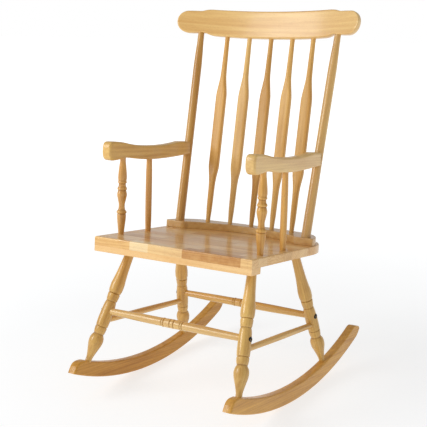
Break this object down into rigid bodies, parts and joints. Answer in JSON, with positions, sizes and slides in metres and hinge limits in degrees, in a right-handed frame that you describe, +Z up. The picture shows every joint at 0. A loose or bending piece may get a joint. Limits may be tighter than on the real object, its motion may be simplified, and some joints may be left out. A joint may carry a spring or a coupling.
{
  "type": "rocking chair",
  "caption": "Wooden rocking chair with a bent crest rail, arrow-shaped back spindles, scooped arms on turned posts, a plank seat, splayed turned legs and curved rockers.",
  "frame": {"origin": "on the floor, midway between the sides and midway between the chair's foremost and rearmost points", "axes": "+Z up, +X to the right of a viewer who faces the sitter, -Y the way the sitter faces"},
  "size_m": [0.614, 0.7796, 1.0784],
  "materials": {
    "seat_wood": "clear gloss lacquer over edge-glued blocks of uneven shade",
    "back_wood": "clear gloss lacquer over warm straight-grained oak",
    "spindle_wood": "clear gloss lacquer over mixed light and dark oak",
    "pale_wood": "clear gloss lacquer over pale yellow oak",
    "arm_wood": "clear gloss lacquer over pale yellow oak",
    "leg_wood": "clear gloss lacquer over honey-coloured oak",
    "rocker_wood": "clear gloss lacquer over honey-coloured oak",
    "black_steel": "black oxide",
    "zinc_steel": "bright zinc plate"
  },
  "bodies": {
    "root": {"arm_left": "arm_wood", "arm_post_front_left": "leg_wood", "arm_post_front_right": "leg_wood", "arm_post_rear_left": "leg_wood", "arm_post_rear_right": "leg_wood", "arm_right": "arm_wood", "arm_screw_left": "black_steel", "arm_screw_right": "black_steel", "back_post_left": "pale_wood", "back_post_right": "pale_wood", "back_riser": "back_wood", "back_spindle_1": "spindle_wood", "back_spindle_2": "spindle_wood", "back_spindle_3": "spindle_wood", "back_spindle_4": "spindle_wood", "back_spindle_5": "spindle_wood", "barrel_nut_front_left": "zinc_steel", "barrel_nut_front_right": "zinc_steel", "barrel_nut_rear_left": "zinc_steel", "barrel_nut_rear_right": "zinc_steel", "crest_rail": "back_wood", "leg_front_left": "leg_wood", "leg_front_right": "leg_wood", "leg_rear_left": "leg_wood", "leg_rear_right": "leg_wood", "riser_screw_1": "zinc_steel", "riser_screw_2": "zinc_steel", "riser_screw_3": "zinc_steel", "riser_screw_4": "zinc_steel", "rocker_left": "rocker_wood", "rocker_right": "rocker_wood", "seat_board": "seat_wood", "seat_front_strip": "seat_wood", "stretcher_bolt_front_left": "black_steel", "stretcher_bolt_front_right": "black_steel", "stretcher_bolt_rear_left": "black_steel", "stretcher_bolt_rear_right": "black_steel", "stretcher_front": "leg_wood", "stretcher_rear": "leg_wood", "stretcher_side_left": "leg_wood", "stretcher_side_right": "leg_wood"}
  },
  "joints": []
}
